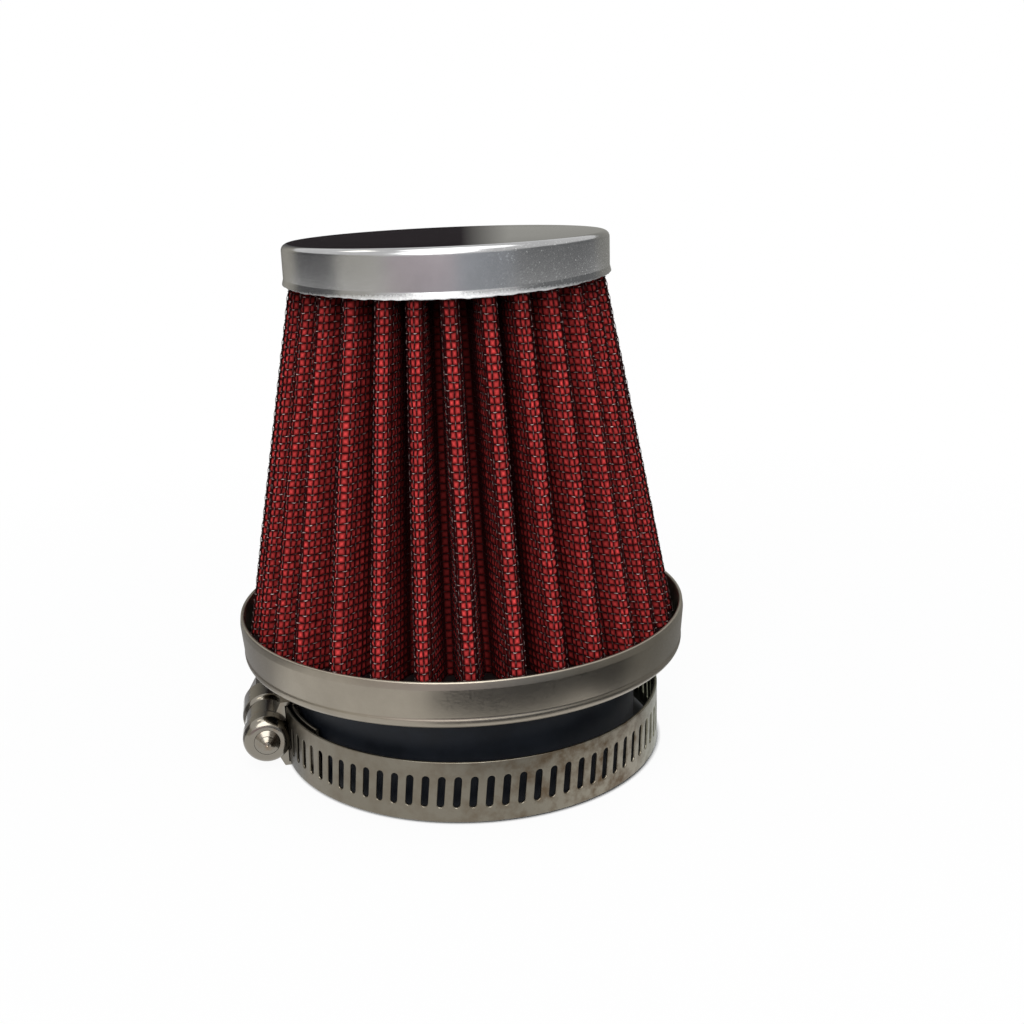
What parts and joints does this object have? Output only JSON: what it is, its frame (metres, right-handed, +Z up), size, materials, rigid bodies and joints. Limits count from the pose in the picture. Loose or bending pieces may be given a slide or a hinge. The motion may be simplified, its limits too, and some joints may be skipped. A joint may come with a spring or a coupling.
{
  "type": "cone air filter",
  "caption": "Tapered clamp-on air filter: a mesh-covered pleated medium between a metal cap and pan, with a rubber neck and a loose slotted worm-drive clamp.",
  "frame": {"origin": "centre of the rubber neck's open end, on the plane the filter stands on", "axes": "+Z up along the neck's bore towards the cap; -Y faces the picture's viewer; the clamp's housing is at the -X side"},
  "size_m": [0.0976, 0.095, 0.1093],
  "materials": {
    "cap_metal": "polished, lightly scuffed",
    "pan_metal": "satin",
    "red_media": "gauze under dark wire mesh",
    "cage_metal": "plain",
    "neck_rubber": "matt with a soft sheen",
    "sealant": "matt",
    "strap_steel": "tarnished",
    "housing_steel": "polished, tarnished",
    "screw_steel": "plain"
  },
  "bodies": {
    "filter": {"rubber_neck": "neck_rubber", "base_pan": "pan_metal", "base_seal": "sealant", "pleated_media": "red_media", "inner_cage": "cage_metal", "cap_seal": "sealant", "top_cap": "cap_metal", "clamp_band": "strap_steel", "clamp_housing": "housing_steel"},
    "worm_screw": {"clamp_screw": "screw_steel"}
  },
  "joints": [
    {"name": "clamp_screw_turn", "type": "hinge", "parent": "filter", "child": "worm_screw", "pos_m": [-0.04343, -0.00572, 0.00735], "axis": [0.1305, -0.9914, 0], "range_deg": [-3390, 2450]}
  ]
}
